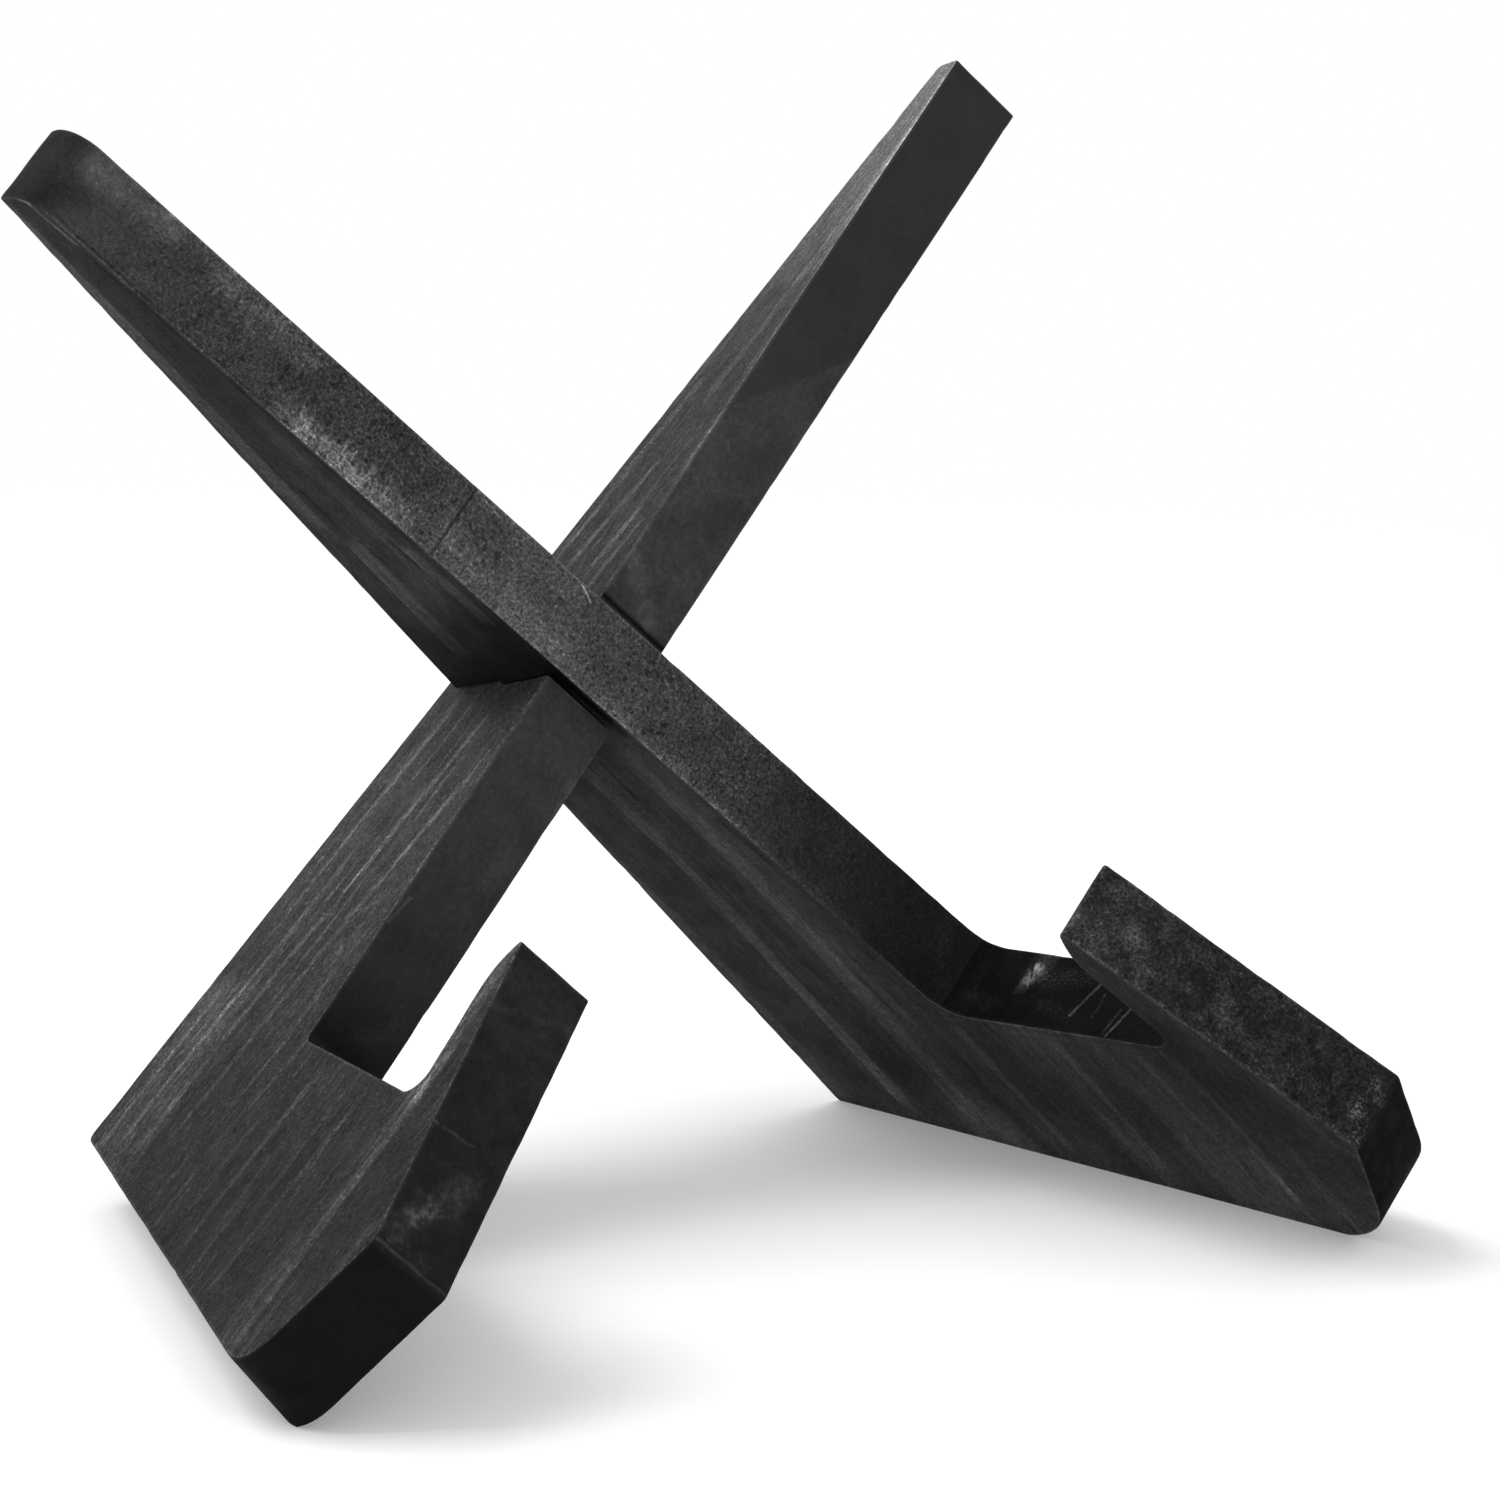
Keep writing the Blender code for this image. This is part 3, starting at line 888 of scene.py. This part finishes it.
UNDER_HOOK = dict(
    PLANED_EDGE,
    # darkest on the toe, below -127 up the arm: painted shade on the chamfer that faces the floor
    along=[(-155, 0.005), (-127, 0.005), (-123.5, 0.009), (-100, 0.0115), (-67, 0.015), (140, 0.015)],
    busy=[(-155, 0.5), (-127, 0.5), (-123.5, 0.8), (140, 0.79)],
    speck_size=0.8,
    mottle=0.16,
    curls=0.16,
    cloud=0.3,
    cloud_size=5.0,
    pits=-0.2,
    flecks=0.3,
    worn=0.5,
    gloss=0.1,
    rubs_and_painted_light=[
        rub_and_painted_light(on_run(UNDER_HOOK_FRONT, (8, 6.5), (14, -7)), width=1.4, gain=0.7),
        rub_and_painted_light(on_run(UNDER_HOOK_FRONT, (36.4, 0.8), (37.4, -7)), width=0.4, gain=2.4, broken=0.4),
        rub_and_painted_light(on_run(UNDER_HOOK_FRONT, (42, 3), (49, -1), (58, -6)), width=4.0, gain=2.4, broken=0.7, ragged=7),
        rub_and_painted_light(on_run(UNDER_HOOK_FRONT, (50, -1), (53, -3)), width=2.2, gain=1.6, broken=0.6, ragged=6),
        rub_and_painted_light(on_run(UNDER_HOOK_FRONT, (58.6, 2), (58.6, -5)), width=1.6, gain=1.6, broken=0.4, grainy=0.9),
        rub_and_painted_light(on_run(UNDER_HOOK_FRONT, (60.2, 7), (60.2, -7)), width=0.5, gain=2.4, ragged=0.8),
        rub_and_painted_light(on_run(UNDER_HOOK_FRONT, (86, 3.6), (86.4, 3.4)), width=0.5, gain=3, broken=0),
    ],
)

OVER_NOTCH = dict(
    PLANED_EDGE,
    along=[(-155, 0.0035), (140, 0.0036)],
    mottle=0.3,
    flecks=0.8,
    worn=1.0,
    gloss=0.04,
    rubs_and_painted_light=[
        rub_and_painted_light(on_run(OVER_LEDGE, (15, 8), (14, 3)), width=3.6, gain=11, broken=0.5, ragged=3),
        rub_and_painted_light(on_run(OVER_LEDGE, (14.2, 4), (13.2, 0)), width=1.9, gain=9, broken=0.4, ragged=2),
        rub_and_painted_light(on_run(OVER_LEDGE, (12.4, 5.5), (13.8, 2)), width=0.5, gain=-0.9, broken=0, ragged=1),
        rub_and_painted_light(on_run(OVER_LEDGE, (11.6, -1.6), (12.4, -7)), width=0.5, gain=-0.6, broken=0, ragged=1),
        rub_and_painted_light(on_run(OVER_LEDGE, (29.6, 3), (27, -4)), width=0.45, gain=22, broken=0.2, ragged=0.8),
        rub_and_painted_light(on_run(OVER_LEDGE, (39, -1), (37, -7)), width=0.45, gain=24, broken=0.2, ragged=0.8),
        rub_and_painted_light(on_run(OVER_LEDGE, (37, -1.6), (36, -6.4)), width=0.4, gain=12, ragged=0.8),
        rub_and_painted_light(on_run(OVER_LEDGE, (32, 1), (32, -4)), width=0.5, gain=6, broken=0.5),
        rub_and_painted_light(on_run(OVER_LEDGE, (18, 2.6), (26, 4)), width=3.2, gain=9, grainy=0.9),
        rub_and_painted_light(on_run(OVER_LEDGE, (4, -3), (8, -4)), width=2.6, gain=3, broken=0.6, grainy=0.5),
        rub_and_painted_light(on_run(OVER_LEDGE, (20, -3), (27, -4)), width=2.6, gain=3, broken=0.6, grainy=0.5),
    ],
)

UNDER_NOTCH = dict(
    OVER_NOTCH,
    rubs_and_painted_light=[rub_and_painted_light([(-84.3, 4, 4), (-86, 12, -2)], width=5, gain=6, broken=0.4, grainy=0.9)],
)


def half(recipe, side):
    """The same finish, with only the marks that reach above or below the crossing."""
    kept = {kind: [mark for mark in recipe[kind] if reaches(mark, side)] for kind in ("streaks", "rubs_and_painted_light")}
    return dict(recipe, **kept)


def reaches(mark, side):
    return any(side * place[0] > 0 for place in mark["path"])


def deselect_all():
    if bpy.context.object and bpy.context.object.mode != "OBJECT":
        bpy.ops.object.mode_set(mode="OBJECT")
    bpy.ops.object.select_all(action="DESELECT")


def on_stand(turn, place):
    """A place on a board, in millimetres, brought to the shared frame."""
    return Vector(CROSSING) + Euler(turn).to_matrix() @ Vector(place) * MILLIMETRE


def on_board(turn, point):
    """A point of the shared frame, brought to a place on a board in millimetres."""
    return Euler(turn).to_matrix().transposed() @ (Vector(point) - Vector(CROSSING)) / MILLIMETRE


def board_copy(name, node):
    """A working copy of a packed board, its loose triangles merged into flat faces."""
    deselect_all()
    board = bpy.data.objects.new(name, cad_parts[node].data.copy())
    bpy.context.collection.objects.link(board)
    board.select_set(True)
    bpy.context.view_layer.objects.active = board
    board.data.materials.clear()
    bpy.ops.object.mode_set(mode="EDIT")
    bpy.ops.mesh.select_all(action="SELECT")
    bpy.ops.mesh.remove_doubles(threshold=MERGE_DISTANCE)
    bpy.ops.mesh.customdata_custom_splitnormals_clear()
    bpy.ops.mesh.dissolve_limited(angle_limit=SLIVER_ANGLE)
    bpy.ops.object.mode_set(mode="OBJECT")
    return board


def is_eased(mesh, face):
    """Tells the narrow faces of an eased corner from the others."""
    corners = [mesh.vertices[index].co for index in face.vertices]
    longest = max((corner - corners[index - 1]).length for index, corner in enumerate(corners))
    return face.area < longest * ARRIS_WIDTH


def ease_arrises(board):
    """Takes the sharpness off every outer corner, and returns the eased faces' surface."""
    bpy.ops.object.mode_set(mode="EDIT")
    bpy.ops.mesh.select_mode(type="EDGE")
    bpy.ops.mesh.select_all(action="DESELECT")
    bpy.ops.mesh.edges_select_sharp(sharpness=ARRIS_ANGLE)
    bpy.ops.mesh.bevel(offset=ARRIS_WIDTH, segments=ARRIS_SEGMENTS, profile=0.5, affect="EDGES")
    bpy.ops.object.mode_set(mode="OBJECT")
    mesh = board.data
    points = [vertex.co.copy() for vertex in mesh.vertices]
    eased = [list(face.vertices) for face in mesh.polygons if is_eased(mesh, face)]
    return BVHTree.FromPolygons(points, eased)


def border_faces(board, out):
    """Draws a narrow border inside each broad face and along both sides of the edges between them.

    The narrow flat that stands on the floor has no room for one.
    """
    for broad in (True, False):
        bpy.ops.object.mode_set(mode="EDIT")
        bpy.ops.mesh.select_mode(type="FACE")
        bpy.ops.mesh.select_all(action="DESELECT")
        bpy.ops.object.mode_set(mode="OBJECT")
        mesh = board.data
        for face in mesh.polygons:
            lies_broad = abs(face.normal.dot(out)) > BROAD_FACING
            narrow = is_eased(mesh, face) or face.normal.z < SOLE_FACING
            face.select = lies_broad == broad and not narrow
        bpy.ops.object.mode_set(mode="EDIT")
        bpy.ops.mesh.inset(thickness=ARRIS_BORDER, depth=0, use_boundary=True)
    bpy.ops.object.mode_set(mode="OBJECT")


def rule_line(turn, axis, place):
    """Cuts the whole mesh along one ruled line across a board."""
    across = Euler(turn).to_matrix() @ Vector([1.0 if index == axis else 0.0 for index in range(3)])
    point = [place if index == axis else 0 for index in range(3)]
    bpy.ops.mesh.select_all(action="SELECT")
    bpy.ops.mesh.bisect(plane_co=on_stand(turn, point), plane_no=across)


def rule_grid(turn):
    """Rules the board in both directions, so that it has points to wear and to measure from."""
    bpy.ops.object.mode_set(mode="EDIT")
    for axis, (first, last) in enumerate(BOARD_REACH):
        for count in range(int((last - first) / GRID_STEP) + 1):
            rule_line(turn, axis, first + count * GRID_STEP)
    bpy.ops.mesh.select_all(action="SELECT")
    bpy.ops.mesh.remove_doubles(threshold=SLIVER_WIDTH)
    bpy.ops.object.mode_set(mode="OBJECT")


def cut_score(board, turn):
    """Presses a fine line across the front edge, where a knife marked the board."""
    bpy.ops.object.mode_set(mode="EDIT")
    bpy.ops.mesh.select_mode(type="VERT")
    for side in (-1, 0, 1):
        rule_line(turn, 0, SCORE_UP + side * SCORE_HALF_WIDTH)
    bpy.ops.mesh.select_all(action="DESELECT")
    bpy.ops.object.mode_set(mode="OBJECT")
    surface = FRONT_TAPER * SCORE_UP + OVER_PROUD
    for vertex in board.data.vertices:
        up, ahead, _ = on_board(turn, vertex.co)
        vertex.select = abs(up - SCORE_UP) < SCORE_HALF_WIDTH / 2 and ahead > surface - SCORE_DEPTH
    inward = Euler(turn).to_matrix() @ Vector((0, -SCORE_DEPTH, 0)) * MILLIMETRE
    bpy.ops.object.mode_set(mode="EDIT")
    bpy.ops.transform.translate(value=inward)
    bpy.ops.object.mode_set(mode="OBJECT")


def measure_arrises(board, eased):
    """Keeps each point's distance to the nearest eased corner, in millimetres, for the wear."""
    kept = board.data.attributes.new("arris_distance", "FLOAT", "POINT")
    for vertex, value in zip(board.data.vertices, kept.data):
        value.value = eased.find_nearest(vertex.co)[3] / MILLIMETRE


def wear_by_hand(board):
    """Lays the faint hollows that planing leaves and the small dents along the corners."""
    distances = board.data.attributes["arris_distance"].data
    moves = []
    for vertex, distance in zip(board.data.vertices, distances):
        sink = UNEVEN_DEPTH * (0.5 + 0.5 * noise.noise(vertex.co / (UNEVEN_SIZE * MILLIMETRE)))
        if distance.value < NICK_REACH:
            dent = max(0.0, noise.noise(vertex.co / (NICK_SIZE * MILLIMETRE)))
            sink += dent * NICK_DEPTH * (1 - distance.value / NICK_REACH)
        moves.append(vertex.normal * -max(0.0, sink) * MILLIMETRE)
    for vertex, move in zip(board.data.vertices, moves):
        vertex.co += move


def lay_finishes(board, turn, finishes):
    """Gives each face its zone's finish, by where it lies on the board and which way it faces."""
    for finish in finishes:
        board.data.materials.append(finish)
    arm = Euler(turn).to_matrix() @ Vector((1, 0, 0))
    out = Euler(turn).to_matrix() @ Vector((0, 0, 1))
    for face in board.data.polygons:
        up, ahead, _ = on_board(turn, face.center)
        on_floor = ahead > NOTCH_FROM_AHEAD and NOTCH_FLOOR_UP[0] < up < NOTCH_FLOOR_UP[1]
        if abs(face.normal.dot(out)) > BROAD_FACING:
            face.material_index = LOWER_SIDE if up < 0 else UPPER_SIDE
        elif on_floor and face.normal.dot(arm) > FLOOR_FACING:
            face.material_index = NOTCH_FLOOR
        elif ahead > HOOK_FROM_AHEAD:
            face.material_index = HOOK
        else:
            face.material_index = EDGE


def make_board(name, node, turn, recipes, scored):
    """Dresses one packed board, with one recipe for each of its zones, in the zones' order."""
    board = board_copy(name, node)
    eased = ease_arrises(board)
    border_faces(board, Euler(turn).to_matrix() @ Vector((0, 0, 1)))
    rule_grid(turn)
    if scored:
        cut_score(board, turn)
    measure_arrises(board, eased)
    wear_by_hand(board)
    finishes = [stained_finish(f"{node} {zone}", turn, recipe) for zone, recipe in zip(ZONES, recipes)]
    lay_finishes(board, turn, finishes)
    bpy.ops.object.shade_smooth_by_angle(angle=SMOOTH_ANGLE)
    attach(board, node)
    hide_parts(node)


make_board(
    "over_board_wood",
    "over_board",
    OVER_TURN,
    [half(OVER_SIDE, -1), half(OVER_SIDE, 1), OVER_EDGE, OVER_HOOK, OVER_NOTCH],
    scored=True,
)
make_board(
    "under_board_wood",
    "under_board",
    UNDER_TURN,
    [half(UNDER_SIDE, -1), half(UNDER_SIDE, 1), UNDER_EDGE, UNDER_HOOK, UNDER_NOTCH],
    scored=False,
)


# Floor, light and camera


def pale_floor():
    """A plain floor that keeps the stand's shadow and fades to white away from it."""
    deselect_all()
    bpy.ops.mesh.primitive_plane_add(size=FLOOR_SIZE, location=(0, 0, 0))
    floor = bpy.context.object
    floor.name = "studio_floor"
    material = bpy.data.materials.new("studio floor")
    material.use_nodes = True
    bench = Bench(material.node_tree)
    bounce = material.node_tree.nodes["Principled BSDF"]
    bounce.inputs["Base Color"].default_value = grey(BOUNCE_TONE)
    bounce.inputs["Roughness"].default_value = 1
    bounce.inputs["Specular IOR Level"].default_value = 0
    shadowed = bench.lay("ShaderNodeBsdfDiffuse", {"Color": grey(FLOOR_TONE)})
    lift = bench.lay("ShaderNodeEmission", {"Strength": FLOOR_LIFT})
    near = bench.lay("ShaderNodeAddShader", {0: shadowed.outputs[0], 1: lift.outputs[0]})
    white = bench.lay("ShaderNodeEmission", {"Strength": 1.0})
    away = bench.span(bench.arrow("LENGTH", bench.lay("ShaderNodeTexCoord").outputs["Object"]), *FLOOR_FADE)
    seen = bench.lay("ShaderNodeMixShader", {0: away, 1: near.outputs[0], 2: white.outputs[0]})
    by_camera = bench.lay("ShaderNodeLightPath").outputs["Is Camera Ray"]
    either = bench.lay("ShaderNodeMixShader", {0: by_camera, 1: bounce.outputs[0], 2: seen.outputs[0]})
    bench.feed(material.node_tree.nodes["Material Output"].inputs["Surface"], either.outputs[0])
    floor.data.materials.append(material)


def studio_world():
    """A bright room that the camera sees as white."""
    world = bpy.data.worlds.new("studio")
    bpy.context.scene.world = world
    world.use_nodes = True
    bench = Bench(world.node_tree)
    soft = world.node_tree.nodes["Background"]
    soft.inputs["Color"].default_value = grey(ROOM_TONE)
    white = bench.lay("ShaderNodeBackground", {"Color": grey(1)})
    by_camera = bench.lay("ShaderNodeLightPath").outputs["Is Camera Ray"]
    either = bench.lay("ShaderNodeMixShader", {0: by_camera, 1: soft.outputs[0], 2: white.outputs[0]})
    bench.feed(world.node_tree.nodes["World Output"].inputs["Surface"], either.outputs[0])


def soft_box(name, place, power):
    """A square lamp that faces the middle of the stand."""
    data = bpy.data.lights.new(name, "AREA")
    data.shape = "SQUARE"
    data.size = LAMP_SIZE
    data.energy = power
    lamp = bpy.data.objects.new(name, data)
    bpy.context.collection.objects.link(lamp)
    lamp.location = place
    lamp.rotation_euler = (Vector(LAMP_AIM) - Vector(place)).to_track_quat("-Z", "Y").to_euler()


pale_floor()
studio_world()
soft_box("overhead left box", place=(-0.9, 0.5, 1.5), power=20)
soft_box("front fill box", place=(-0.3, -1.6, 1.0), power=6)

camera_data = bpy.data.cameras.new("camera")
camera_data.lens = CAMERA_LENS
camera_data.sensor_width = CAMERA_SENSOR
camera_data.clip_start = CAMERA_NEAR
camera = bpy.data.objects.new("camera", camera_data)
bpy.context.collection.objects.link(camera)
camera.location = CAMERA_PLACE
camera.rotation_euler = tuple(math.radians(angle) for angle in CAMERA_TURN)
bpy.context.scene.camera = camera
bpy.context.scene.view_settings.view_transform = "Standard"
